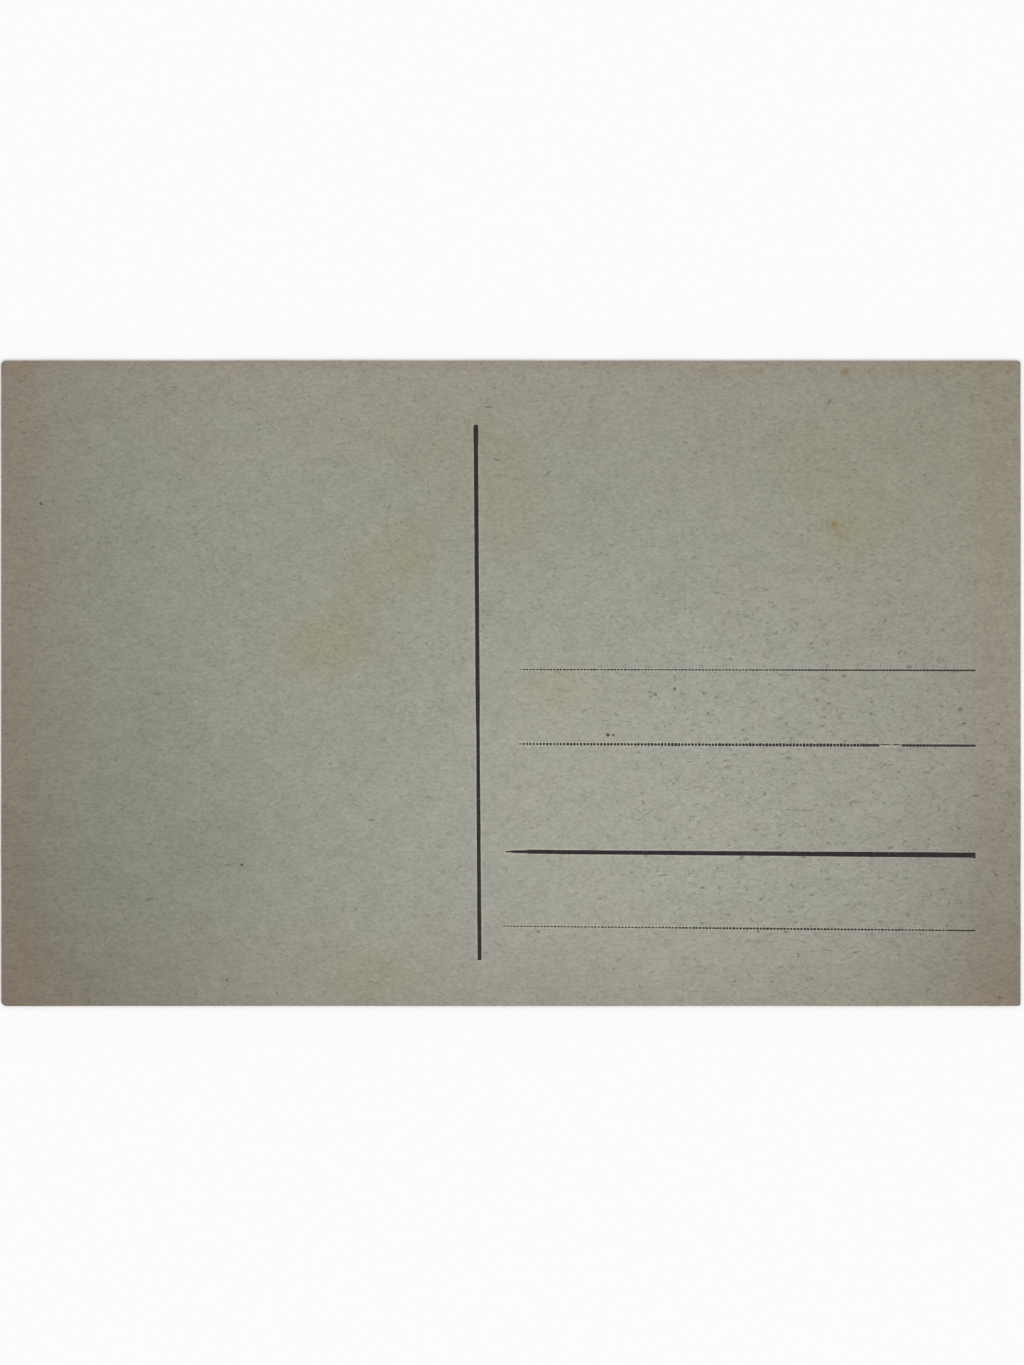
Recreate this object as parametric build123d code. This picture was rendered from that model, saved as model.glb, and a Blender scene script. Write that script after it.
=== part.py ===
from build123d import *
import math
import os

# Picture postcard with a divided back, lying flat with its address side up, in millimetres.
# The board is three plies pasted together, and the rules are inked into its top ply.
# Origin: middle of the picture face, which is the face the card lies on.
# +X runs along the long side, +Y to the top edge of the address side, +Z out of that side.

# Trimmed card
card_length = 139.0
card_height = 88.0
corner_radius = 0.6

# Layers of the board, from the picture face up
coating_thickness = 0.02
front_liner_thickness = 0.09
front_paste_thickness = 0.02
core_thickness = 0.16
back_paste_thickness = 0.02
back_liner_thickness = 0.11

# Letterpress printing: the type bites into the back liner and leaves its ink on the floor of the bite
impression_depth = 0.03
ink_thickness = 0.01

# Divider between the message half and the address half, leaning by its tilt in degrees
divider_from_left = 64.95
divider_top_margin = 8.7
divider_bottom_margin = 6.3
divider_width = 0.52
divider_tilt = 0.41

# Every rule of the address half ends at this margin
right_margin = 6.2

# Dots of the dotted rules, left square by the notches filed across a brass rule,
# and the line they run into where the worn notches fill with ink
dot_pitch = 0.46
dot_length = 0.28
dot_width = 0.22
filled_width = 0.20

# Each rule starts a gap right of the divider, its middle lies below the top edge,
# and it falls to the right by its tilt in degrees
upper_gap = 5.65
upper_below_top = 42.15
upper_tilt = 0.12
upper_filled_length = 26.6

middle_gap = 5.65
middle_below_top = 52.35
middle_tilt = 0.22
middle_filled_length = 15.6

lower_gap = 3.45
lower_below_top = 77.37
lower_tilt = 0.55
lower_filled_length = 3.6

# Town rule: solid and heavy, with a worn tip at the left and a splayed foot at the right
town_gap = 3.8
town_below_top = 67.15
town_tilt = 0.42
town_width = 0.62
town_tip_width = 0.27
town_taper_length = 3.1
town_foot_width = 0.92
town_foot_length = 0.45

# Heights of the layers, stacked from the picture face
front_liner_bottom = coating_thickness
front_paste_bottom = front_liner_bottom + front_liner_thickness
core_bottom = front_paste_bottom + front_paste_thickness
back_paste_bottom = core_bottom + core_thickness
back_liner_bottom = back_paste_bottom + back_paste_thickness
address_face = back_liner_bottom + back_liner_thickness
impression_floor = address_face - impression_depth

# Edges and the divider's place in the card's own frame
left_edge = -card_length / 2
right_edge = card_length / 2
top_edge = card_height / 2
divider_x = left_edge + divider_from_left


def layer(bottom, thickness):
    """One sheet of the board, trimmed to the card's outline."""
    outline = RectangleRounded(card_length, card_height, corner_radius)
    return Pos(0, 0, bottom) * extrude(outline, thickness)


def divider_sketch(length):
    """Upright bar about its own middle, with a rounded top end."""
    radius = divider_width / 2
    shaft = Pos(0, -radius / 2) * Rectangle(divider_width, length - radius)
    round_top = Pos(0, length / 2 - radius) * Circle(radius)
    return shaft + round_top


def dotted_sketch(length, filled_length):
    """Row of dots about its own middle, which runs into a filled line at its right end."""
    start = -length / 2
    dot_count = math.floor((length - filled_length) / dot_pitch)
    first_centre = start + dot_length / 2
    dot = Rectangle(dot_length, dot_width)
    dots = [Pos(first_centre + i * dot_pitch, 0) * dot for i in range(dot_count)]
    line_start = start + dot_count * dot_pitch
    line_length = length / 2 - line_start
    line = Pos(line_start + line_length / 2, 0) * Rectangle(line_length, filled_width)
    return Sketch() + dots + line


def town_sketch(length):
    """Heavy line about its own middle: narrow tip, even shaft, splayed foot."""
    tip = -length / 2
    foot = length / 2
    upper_side = [
        (tip, town_tip_width / 2),
        (tip + town_taper_length, town_width / 2),
        (foot - town_foot_length, town_width / 2),
        (foot, town_foot_width / 2),
    ]
    lower_side = [(x, -y) for x, y in reversed(upper_side)]
    return make_face(Polyline(*upper_side, *lower_side, close=True))


def address_span(gap):
    """Length and middle of a rule that runs from a gap beside the divider to the right margin."""
    start = divider_x + gap
    end = right_edge - right_margin
    return end - start, (start + end) / 2


def seat(middle_x, middle_y, tilt):
    """Place on the floor of the impression, turned clockwise by the rule's tilt."""
    return Location((middle_x, middle_y, impression_floor), (0, 0, -tilt))


def address_rule(sketch_of, gap, below_top, tilt, *lengths):
    """Ink outline of one rule of the address half, with its place on the card."""
    length, middle_x = address_span(gap)
    return sketch_of(length, *lengths), seat(middle_x, top_edge - below_top, tilt)


# Printed rules: the outline of each with its place
divider_length = card_height - divider_top_margin - divider_bottom_margin
divider_y = top_edge - divider_top_margin - divider_length / 2
printed_rules = {
    # The divider leans the other way: its lower end lies nearer the address half
    "divider_rule": (divider_sketch(divider_length), seat(divider_x, divider_y, -divider_tilt)),
    "address_rule_upper": address_rule(
        dotted_sketch, upper_gap, upper_below_top, upper_tilt, upper_filled_length
    ),
    "address_rule_middle": address_rule(
        dotted_sketch, middle_gap, middle_below_top, middle_tilt, middle_filled_length
    ),
    "town_rule": address_rule(town_sketch, town_gap, town_below_top, town_tilt),
    "address_rule_lower": address_rule(
        dotted_sketch, lower_gap, lower_below_top, lower_tilt, lower_filled_length
    ),
}
impressions = [place * extrude(outline, impression_depth) for outline, place in printed_rules.values()]

# Every piece of the card
pieces = {
    "picture_coating": layer(0, coating_thickness),
    "front_liner": layer(front_liner_bottom, front_liner_thickness),
    "front_paste": layer(front_paste_bottom, front_paste_thickness),
    "core_ply": layer(core_bottom, core_thickness),
    "back_paste": layer(back_paste_bottom, back_paste_thickness),
    "back_liner": layer(back_liner_bottom, back_liner_thickness) - impressions,
}
for rule_name, (outline, place) in printed_rules.items():
    pieces[rule_name] = place * extrude(outline, ink_thickness)

os.makedirs("parts", exist_ok=True)
for piece_name, piece in pieces.items():
    piece.label = piece_name
    export_step(piece, f"parts/{piece_name}.step")
    print(piece_name, len(piece.solids()), "solids", round(piece.volume, 3), "mm3")
print("card thickness", round(address_face, 3), "mm")
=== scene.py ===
# %% [markdown]
# # An old postcard, address side up
# The card is a sandwich of paper plies, with five rules printed on its top ply. The construction
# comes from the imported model, so every place and height below is read from it. This lesson gives
# each layer its worn edge, each rule its uneven ink, and the paper its age.

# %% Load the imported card
import math
import random

import bpy
import numpy as np
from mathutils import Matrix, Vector, noise
from mathutils.geometry import delaunay_2d_cdt


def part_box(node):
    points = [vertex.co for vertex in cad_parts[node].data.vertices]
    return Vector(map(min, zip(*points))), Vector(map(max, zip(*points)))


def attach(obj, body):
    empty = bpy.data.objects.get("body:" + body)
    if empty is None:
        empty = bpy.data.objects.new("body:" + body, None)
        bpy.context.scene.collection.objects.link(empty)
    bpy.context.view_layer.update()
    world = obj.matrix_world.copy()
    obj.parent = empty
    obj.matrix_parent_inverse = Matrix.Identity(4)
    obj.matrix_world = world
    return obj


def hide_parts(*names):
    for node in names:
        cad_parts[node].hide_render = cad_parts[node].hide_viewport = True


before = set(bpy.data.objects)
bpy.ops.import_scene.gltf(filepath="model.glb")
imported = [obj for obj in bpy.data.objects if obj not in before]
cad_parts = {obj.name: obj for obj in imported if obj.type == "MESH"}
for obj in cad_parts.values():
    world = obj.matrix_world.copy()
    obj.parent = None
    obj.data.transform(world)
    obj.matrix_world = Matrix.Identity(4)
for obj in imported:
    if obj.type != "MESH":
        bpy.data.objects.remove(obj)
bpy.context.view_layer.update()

MM = 0.001


def box_mm(node_name):
    """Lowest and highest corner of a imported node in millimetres."""
    low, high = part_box(node_name)
    return low / MM, high / MM


CARD_LOW, CARD_HIGH = box_mm("back_liner")
CARD_LENGTH = CARD_HIGH.x - CARD_LOW.x
CARD_HEIGHT = CARD_HIGH.y - CARD_LOW.y
print("card", round(CARD_LENGTH, 2), "by", round(CARD_HEIGHT, 2), "mm, top face at", round(CARD_HIGH.z, 3))

# %% [markdown]
# ## The trimmed and worn edge
# A card is cut from a big sheet with a guillotine, so its sides are straight to a few hundredths of
# a millimetre, and handling then rounds its corners. A bevel modifier would round all corners alike.
# Here each corner has its own arc, and a smooth random line draws the sides in a little, so that no
# two plies end at quite the same place.

# %% Outline of one ply
CORNER_WEAR = {"bottom_left": 0.75, "bottom_right": 0.4, "top_right": 0.35, "top_left": 0.65}
CORNER_STEPS = 7
EDGE_STEP = 0.4
LONG_WAVE, LONG_DRIFT = 11.0, 0.03
SHORT_WAVE, SHORT_DRIFT = 0.9, 0.012
# Where the edge of each seed cuts through the noise
SEED_SPACING, EDGE_SLICE = 3.7, 0.5


def waver(seed, wave, distance):
    """Smooth random value, from about -1 to 1, that changes over one wave in mm."""
    return noise.noise(Vector((distance / wave, SEED_SPACING * seed, EDGE_SLICE)))


def inward(points):
    """Unit normals of a closed anticlockwise line, pointing inside it."""
    along = np.roll(points, -1, axis=0) - np.roll(points, 1, axis=0)
    left = np.column_stack((-along[:, 1], along[:, 0]))
    return left / np.linalg.norm(left, axis=1, keepdims=True)


def trimmed_line():
    """The card's rectangle in mm, anticlockwise from its bottom left, with an arc at each corner."""
    corners = [
        (CARD_LOW.x, CARD_LOW.y, 1, 1, CORNER_WEAR["bottom_left"], 180),
        (CARD_HIGH.x, CARD_LOW.y, -1, 1, CORNER_WEAR["bottom_right"], 270),
        (CARD_HIGH.x, CARD_HIGH.y, -1, -1, CORNER_WEAR["top_right"], 0),
        (CARD_LOW.x, CARD_HIGH.y, 1, -1, CORNER_WEAR["top_left"], 90),
    ]
    arcs = []
    for x, y, to_right, up, radius, first_angle in corners:
        angles = np.radians(np.linspace(first_angle, first_angle + 90, CORNER_STEPS))
        arc_x = x + to_right * radius + radius * np.cos(angles)
        arc_y = y + up * radius + radius * np.sin(angles)
        arcs.append(np.column_stack((arc_x, arc_y)))
    line = []
    for arc, next_arc in zip(arcs, arcs[1:] + arcs[:1]):
        line.extend(arc)
        side = next_arc[0] - arc[-1]
        steps = int(np.linalg.norm(side) / EDGE_STEP)
        line.extend(arc[-1] + side * i / steps for i in range(1, steps))
    return np.array(line)


def worn_outline(seed, inset):
    """The trimmed line drawn in by an inset in mm, with the waver of one ply's edge."""
    line = trimmed_line()
    distance = np.concatenate(([0], np.cumsum(np.linalg.norm(np.diff(line, axis=0), axis=1))))
    drawn_in = [
        inset
        + LONG_DRIFT * (1 + waver(seed, LONG_WAVE, d))
        + SHORT_DRIFT * (1 + waver(seed, SHORT_WAVE, d))
        for d in distance
    ]
    return line + inward(line) * np.array(drawn_in)[:, None]


print("points round one ply:", len(trimmed_line()))

# %% [markdown]
# ## Where the rules lie
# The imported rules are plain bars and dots. Their two ends give each rule's centre line, and the
# heights of one of them give the floor of the printed bite and the top of the ink on it.

# %% Ends of each rule
END_BAND = 0.05


def rule_ends(node_name, axis):
    """Middles of a rule's first and last end in mm, along x (0) or from top to bottom along y (1)."""
    places = np.array([v.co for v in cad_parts[node_name].data.vertices]) / MM
    along = places[:, axis]
    low_end = places[along < along.min() + END_BAND][:, :2].mean(axis=0)
    high_end = places[along > along.max() - END_BAND][:, :2].mean(axis=0)
    return (low_end, high_end) if axis == 0 else (high_end, low_end)


BITE_FLOOR = box_mm("town_rule")[0].z
INK_TOP = box_mm("town_rule")[1].z
DOTTED = ("address_rule_upper", "address_rule_middle", "address_rule_lower")
ENDS = {name: rule_ends(name, 0) for name in DOTTED + ("town_rule",)}
ENDS["divider_rule"] = rule_ends("divider_rule", 1)
LENGTHS = {name: float(np.linalg.norm(b - a)) for name, (a, b) in ENDS.items()}
print("rule lengths in mm:", {name: round(length, 1) for name, length in LENGTHS.items()})

# %% [markdown]
# ## Ink drawn as strips
# A printed bar is a strip: stations along a centre line, and at each station how far the ink
# spreads to either side. A curve with a bevel would keep both sides alike, and ink never does that.
# A dot is only a very short strip, so one form serves for the bars and for the dots.


# %% A strip of ink and its outline
class InkStrip:
    """One separate patch of ink along a rule, in mm."""

    def __init__(self, rule_name, stations, right_half, left_half, density):
        start, end = ENDS[rule_name]
        self.start = start
        self.along = (end - start) / np.linalg.norm(end - start)
        self.stations = np.array(stations, float)
        self.right_half = np.array(right_half, float)
        self.left_half = np.array(left_half, float)
        self.density = np.broadcast_to(density, self.stations.shape)

    def sides(self, grow):
        """Points along the right and the left side, grown outwards by a width in mm."""
        left = np.array((-self.along[1], self.along[0]))
        stations = self.stations.copy()
        stations[0] -= grow
        stations[-1] += grow
        middle = self.start + np.outer(stations, self.along)
        right_side = middle - np.outer(self.right_half + grow, left)
        left_side = middle + np.outer(self.left_half + grow, left)
        return right_side, left_side

    def outline(self, grow):
        """Closed anticlockwise line round the patch."""
        right_side, left_side = self.sides(grow)
        return np.concatenate((right_side, left_side[::-1]))


print("strips of ink lie", round(CARD_HIGH.z - BITE_FLOOR, 3), "mm below the top face")

# %% [markdown]
# ## The divider and the town rule
# Both are printed from solid brass rule. The divider is a shade wider at its top, where the roller
# left more ink, and its upper end is rounded. The town rule is worn to a thin tip at its left, grows
# heavier to the right, and ends in a small drip below the line. A few widths along each bar carry
# that, given apart for its two sides, and a waver roughens both.

# %% Two solid bars
BAR_STEP = 0.4
BAR_ROUGHNESS = 0.02
SIDE_WAVES = (1.1, 4.5)
LONG_WAVE_SHARE = 0.8
STATION_DIGITS = 4


def rough_side(seed, stations):
    """Unevenness of one side of a bar in mm, from a short and a long waver."""
    short_wave, long_wave = SIDE_WAVES
    short = np.array([waver(seed, short_wave, s) for s in stations])
    long = np.array([waver(seed + 1, long_wave, s) for s in stations])
    return BAR_ROUGHNESS * (short + LONG_WAVE_SHARE * long)


def solid_bar(rule_name, seed, shape, density):
    """One solid rule. A row of its shape is mm along it, then mm of ink right and left of its middle."""
    places, right, left = np.array(shape).T
    steps = np.arange(0, places[-1], BAR_STEP)
    stations = np.unique(np.concatenate((steps, places)).round(STATION_DIGITS))
    right_half = np.interp(stations, places, right) + rough_side(seed, stations)
    left_half = np.interp(stations, places, left) + rough_side(seed + 2, stations)
    return InkStrip(rule_name, stations, right_half, left_half, density)


DIVIDER_END = LENGTHS["divider_rule"]
divider_shape = [
    (0.0, 0.08, 0.20),
    (0.1, 0.22, 0.28),
    (0.3, 0.33, 0.33),
    (1.2, 0.33, 0.33),
    (3.4, 0.295, 0.295),
    (20.0, 0.285, 0.29),
    (29.0, 0.28, 0.28),
    (36.5, 0.29, 0.295),
    (41.5, 0.235, 0.235),
    (46.0, 0.225, 0.23),
    (52.0, 0.255, 0.255),
    (58.0, 0.255, 0.26),
    (DIVIDER_END - 0.35, 0.265, 0.27),
    (DIVIDER_END - 0.1, 0.32, 0.26),
    (DIVIDER_END, 0.28, 0.22),
]
TOWN_END = LENGTHS["town_rule"]
town_shape = [
    (0.0, 0.07, 0.07),
    (0.2, 0.11, 0.11),
    (0.5, 0.09, 0.10),
    (0.8, 0.15, 0.16),
    (1.5, 0.18, 0.19),
    (2.9, 0.18, 0.20),
    (3.1, 0.25, 0.275),
    (12.0, 0.295, 0.29),
    (18.0, 0.285, 0.28),
    (26.0, 0.30, 0.295),
    (40.0, 0.31, 0.305),
    (50.0, 0.35, 0.335),
    (58.0, 0.355, 0.34),
    (TOWN_END - 0.45, 0.335, 0.33),
    (TOWN_END - 0.12, 0.45, 0.35),
    (TOWN_END, 0.40, 0.30),
]
DIVIDER_SEED, DIVIDER_DENSITY = 21, 0.98
TOWN_SEED, TOWN_DENSITY = 31, 1.0
divider_strips = [solid_bar("divider_rule", DIVIDER_SEED, divider_shape, DIVIDER_DENSITY)]
town_strips = [solid_bar("town_rule", TOWN_SEED, town_shape, TOWN_DENSITY)]
print("stations on the divider:", len(divider_strips[0].stations))

# %% [markdown]
# ## The dotted rules
# A dotted brass rule has notches filed across its face. Where the rule is worn the notches fill with
# ink, so the dots grow towards the right, touch, and at last run into a beaded line. An array
# modifier could repeat one dot, but no two dots here are alike, so a loop makes each from a seeded
# draw.

# %% One row of dots
DOT_PITCH = 0.46
DOT_ROUNDING = np.array((0.55, 1.0, 1.0, 0.55))
DOT_SHARES = np.array((0.0, 0.25, 0.75, 1.0))
FIRST_DENSITY = 0.45
# Draws for each dot: its shift in mm, then factors on its length, width and density
SHIFT_DRAW, LENGTH_DRAW, WIDTH_DRAW, DENSITY_DRAW = (0, 0.02), (0.9, 1.1), (0.85, 1.15), (0.88, 1.0)
LEAST_GAP = 0.06


def row_of_dots(rule_name, draw, shape, fade_in):
    """Dots from the rule's left end. A row of the shape is mm along, share of the pitch, half-width in mm.

    fade_in is the stretch in mm over which the ink reaches its full density.
    """
    places, shares, half_widths = np.array(shape).T
    strips = []
    for i in range(int(places[-1] / DOT_PITCH)):
        shift = draw.uniform(*SHIFT_DRAW)
        start = i * DOT_PITCH + shift
        length = DOT_PITCH * np.interp(start, places, shares) * draw.uniform(*LENGTH_DRAW)
        length = min(length, DOT_PITCH - shift - LEAST_GAP)
        half = np.interp(start, places, half_widths) * draw.uniform(*WIDTH_DRAW) * DOT_ROUNDING
        density = min(1.0, FIRST_DENSITY + start / fade_in) * draw.uniform(*DENSITY_DRAW)
        strips.append(InkStrip(rule_name, start + length * DOT_SHARES, half, half, density))
    return strips


print("pitches along each dotted rule:", [int(LENGTHS[name] / DOT_PITCH) for name in DOTTED])

# %% A beaded line, and a stretch of it that broke away
BEAD_STEPS = 6
BEAD_ROUGHNESS = 0.4
LINE_DENSITY = 0.9
SLIVER_STEPS = 5
SLIVER_DENSITY = 0.85
SLIVER_LOW, SLIVER_HIGH, SLIVER_ARCH = 0.045, 0.2, (0.15, 0.85)


def beaded_line(rule_name, seed, start, end, half_widths, swelling):
    """A line whose beads swell by a share of its width. Width and swelling are given for both its ends."""
    stations = np.append(np.arange(start, end - LEAST_GAP, DOT_PITCH / BEAD_STEPS), end)
    swell = np.interp(stations, (start, end), swelling)
    beads = 1 + swell * np.cos(2 * math.pi * stations / DOT_PITCH)
    bead = np.interp(stations, (start, end), half_widths) * beads
    right_half = bead + BEAD_ROUGHNESS * rough_side(seed, stations)
    left_half = bead + BEAD_ROUGHNESS * rough_side(seed + 2, stations)
    return InkStrip(rule_name, stations, right_half, left_half, LINE_DENSITY)


def sliver(rule_name, start, end):
    """Thin upper rim of a line, all that printed where the brass had broken away."""
    stations = np.linspace(start, end, SLIVER_STEPS)
    arch = np.sin(math.pi * np.linspace(*SLIVER_ARCH, SLIVER_STEPS))
    return InkStrip(rule_name, stations, -SLIVER_LOW * arch, SLIVER_HIGH * arch, SLIVER_DENSITY)


print("stations of a beaded line lie", round(DOT_PITCH / BEAD_STEPS, 3), "mm apart")

# %% Three dotted rules
UPPER_DOTS = [
    (0.0, 0.78, 0.088),
    (6.0, 0.82, 0.10),
    (20.0, 0.83, 0.086),
    (35.6, 0.85, 0.094),
]
MIDDLE_DOTS = [
    (0.0, 0.62, 0.140),
    (8.0, 0.70, 0.170),
    (18.0, 0.76, 0.190),
    (28.0, 0.79, 0.190),
    (38.0, 0.87, 0.230),
    (46.6, 0.86, 0.205),
]
LOWER_DOTS = [
    (0.0, 0.76, 0.084),
    (12.0, 0.78, 0.084),
    (22.0, 0.78, 0.094),
    (29.0, 0.82, 0.138),
    (34.0, 0.83, 0.144),
    (46.0, 0.82, 0.132),
    (53.0, 0.83, 0.106),
    (60.8, 0.84, 0.102),
]
# Places along the middle rule, in mm, where its line breaks off, parts and starts again
BREAK_START, BREAK_PART, BREAK_END = 49.1, 50.7, 52.1
UPPER_SEED, MIDDLE_SEED, LOWER_SEED = 41, 51, 61
# Stretch in mm over which the ink reaches its full density, on the two upper rules and on the lower one
FADE_IN, LOWER_FADE_IN = 1.0, 6.0


def dotted_rule(rule_name, seed, shape, fade_in, lines):
    """Dots and then lines. Each line is its start and end in mm, then half-widths and swelling at both."""
    strips = row_of_dots(rule_name, random.Random(seed), shape, fade_in)
    for start, end, half_widths, swelling in lines:
        strips.append(beaded_line(rule_name, seed, start, end, half_widths, swelling))
    return strips


def line_start(shape):
    """Where the last dot's pitch ends, in mm along the rule."""
    return int(shape[-1][0] / DOT_PITCH) * DOT_PITCH


upper_line = (line_start(UPPER_DOTS), LENGTHS["address_rule_upper"], (0.094, 0.12), (0.3, 0.18))
middle_lines = (
    (line_start(MIDDLE_DOTS), BREAK_START, (0.19, 0.185), (0.3, 0.1)),
    (BREAK_END, LENGTHS["address_rule_middle"], (0.17, 0.16), (0.3, 0.05)),
)
lower_line = (line_start(LOWER_DOTS), LENGTHS["address_rule_lower"], (0.104, 0.1), (0.25, 0.0))
upper_strips = dotted_rule("address_rule_upper", UPPER_SEED, UPPER_DOTS, FADE_IN, [upper_line])
middle_strips = dotted_rule("address_rule_middle", MIDDLE_SEED, MIDDLE_DOTS, FADE_IN, middle_lines)
middle_strips.append(sliver("address_rule_middle", BREAK_START + LEAST_GAP, BREAK_PART - LEAST_GAP))
middle_strips.append(sliver("address_rule_middle", BREAK_PART + LEAST_GAP, BREAK_END - LEAST_GAP))
lower_strips = dotted_rule("address_rule_lower", LOWER_SEED, LOWER_DOTS, LOWER_FADE_IN, [lower_line])
INK_STRIPS = {
    "divider_rule": divider_strips,
    "address_rule_upper": upper_strips,
    "address_rule_middle": middle_strips,
    "town_rule": town_strips,
    "address_rule_lower": lower_strips,
}
print("patches of ink:", {name: len(strips) for name, strips in INK_STRIPS.items()})

# %% [markdown]
# ## From points to pieces
# Each piece is a mesh built from points in millimetres. One helper makes the object and ties it to
# the imported node that it stands for. The card has no moving part, so everything rides on the one
# body, root.

# %% Make one piece
MADE = {}
SHARP_FROM = 20


def make_piece(node_name, points, faces):
    """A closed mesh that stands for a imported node."""
    mesh = bpy.data.meshes.new(node_name + "_look")
    mesh.from_pydata([Vector(p) * MM for p in points], [], faces)
    mesh.validate()
    mesh.set_sharp_from_angle(angle=math.radians(SHARP_FROM))
    piece = bpy.data.objects.new(node_name + "_look", mesh)
    bpy.context.scene.collection.objects.link(piece)
    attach(piece, "root")
    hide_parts(node_name)
    MADE[node_name] = piece
    print(piece.name, "has", len(mesh.vertices), "points and", len(mesh.polygons), "faces")
    return piece


def at_height(points, height):
    """Flat points lifted to a height."""
    return [(x, y, height) for x, y in points]


def ring_pairs(first, count):
    """Pairs of neighbours round a closed line of points, numbered from first."""
    return [(first + i, first + (i + 1) % count) for i in range(count)]


def ring_wall(lower_first, upper_first, count):
    """Faces between two closed rings of points, seen from outside."""
    pairs = zip(ring_pairs(lower_first, count), ring_pairs(upper_first, count))
    return [(*lower, *reversed(upper)) for lower, upper in pairs]


# %% [markdown]
# ## The inner plies
# Only the cut edge of the inner layers shows, so each is a flat sheet with a worn outline. Between
# its two faces the edge bulges a little, as cut paper does, while the paste films lie drawn in and
# leave a fine dark line between the plies.

# %% Coating, liner, core and paste
# Slot, seed of the edge, and how far the edge lies in, in mm
LAYERS = {
    "picture_coating": ("picture_coating", 1, 0.03),
    "front_liner": ("liner_paper", 2, 0.0),
    "front_paste": ("paste", 3, 0.06),
    "core_ply": ("core_board", 4, 0.0),
    "back_paste": ("paste", 5, 0.06),
}
EDGE_SOFTNESS = 0.25


def make_layer(node_name, seed, inset):
    """A flat sheet whose edge is rounded over a share of its thickness."""
    low, high = box_mm(node_name)
    softness = EDGE_SOFTNESS * (high.z - low.z)
    outer = worn_outline(seed, inset)
    inner = outer + inward(outer) * softness
    count = len(outer)
    points = (
        at_height(inner, low.z)
        + at_height(outer, low.z + softness)
        + at_height(outer, high.z - softness)
        + at_height(inner, high.z)
    )
    faces = [tuple(reversed(range(count)))]
    for ring in range(3):
        faces.extend(ring_wall(ring * count, (ring + 1) * count, count))
    faces.append(tuple(range(3 * count, 4 * count)))
    make_piece(node_name, points, faces)


for layer_name, (slot, seed, inset) in LAYERS.items():
    make_layer(layer_name, seed, inset)

# %% [markdown]
# ## The ply that is written on
# Type pressed into paper leaves a bite with steep little walls. A displacement map would need
# millions of faces to show walls this fine. A constrained triangulation instead takes the lines of
# every bite, floor and shoulder, as edges that the mesh has to keep, and fills the wide bare
# paper between them with large triangles. The corners are worn lower than the rest.

# %% Points of the top face
BITE_SHOULDER = 0.02
TOP_EDGE_INSET = 0.05
TOP_EDGE_DROP, RIM_DROP_SHARE = 0.03, 0.3
SHEET_STEP, SHEET_JITTER, SHEET_SEED = 1.5, 0.3, 71
ROW_SHARE = 0.866
CLEAR_OF_INK = 0.7
CLEAR_OF_EDGE = 0.6
CORNER_REACH = 5.0
CORNER_DROP = 0.035
COCKLE_WAVE = 8.0
COCKLE, COCKLE_SLICE = 0.005, 4.2


def paper_height(x, y):
    """Height of the bare paper: its highest level less a gentle cockle and the worn corners."""
    cockle = COCKLE * (1 + noise.noise(Vector((x / COCKLE_WAVE, y / COCKLE_WAVE, COCKLE_SLICE))))
    to_side = min(x - CARD_LOW.x, CARD_HIGH.x - x)
    to_end = min(y - CARD_LOW.y, CARD_HIGH.y - y)
    worn = max(0.0, 1 - math.hypot(to_side, to_end) / CORNER_REACH)
    return CARD_HIGH.z - cockle - CORNER_DROP * worn * worn


def near_ink(x, y):
    """True where a scattered point would fall in a rule or too near to it."""
    for rule_name, (start, end) in ENDS.items():
        along = (end - start) / LENGTHS[rule_name]
        to_point = np.array((x, y)) - start
        distance = to_point @ along
        beside = abs(to_point[0] * along[1] - to_point[1] * along[0])
        if -CLEAR_OF_INK < distance < LENGTHS[rule_name] + CLEAR_OF_INK and beside < CLEAR_OF_INK:
            return True
    return False


def scattered_points():
    """Jittered points of the bare paper."""
    draw = random.Random(SHEET_SEED)
    points = []
    rows = np.arange(CARD_LOW.y + CLEAR_OF_EDGE, CARD_HIGH.y - CLEAR_OF_EDGE, SHEET_STEP * ROW_SHARE)
    for row, y in enumerate(rows):
        first = CARD_LOW.x + CLEAR_OF_EDGE + (row % 2) * SHEET_STEP / 2
        for x in np.arange(first, CARD_HIGH.x - CLEAR_OF_EDGE, SHEET_STEP):
            shift_x = draw.uniform(-SHEET_JITTER, SHEET_JITTER)
            shift_y = draw.uniform(-SHEET_JITTER, SHEET_JITTER)
            place = (x + shift_x, y + shift_y)
            if not near_ink(*place):
                points.append(place)
    return points


SHEET_POINTS = scattered_points()
print("points scattered over the bare paper:", len(SHEET_POINTS))

# %% Triangulate the top face and close the ply
LINER_SEED = 6
# For the triangulation: keep what lies inside the rim, and join points nearer than this
INSIDE_ONLY, JOIN_WITHIN = 1, 1e-6


def outside_rim(face, ring_place, rim):
    """True for a triangle in a hollow outside the rim: it runs clockwise when taken in the rim's order."""
    ring = sorted(ring_place[corner] for corner in face if corner in ring_place)
    if len(ring) < len(face):
        return False
    first, second, third = (Vector(rim[i]) for i in ring)
    return (second - first).cross(third - first) < 0


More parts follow.
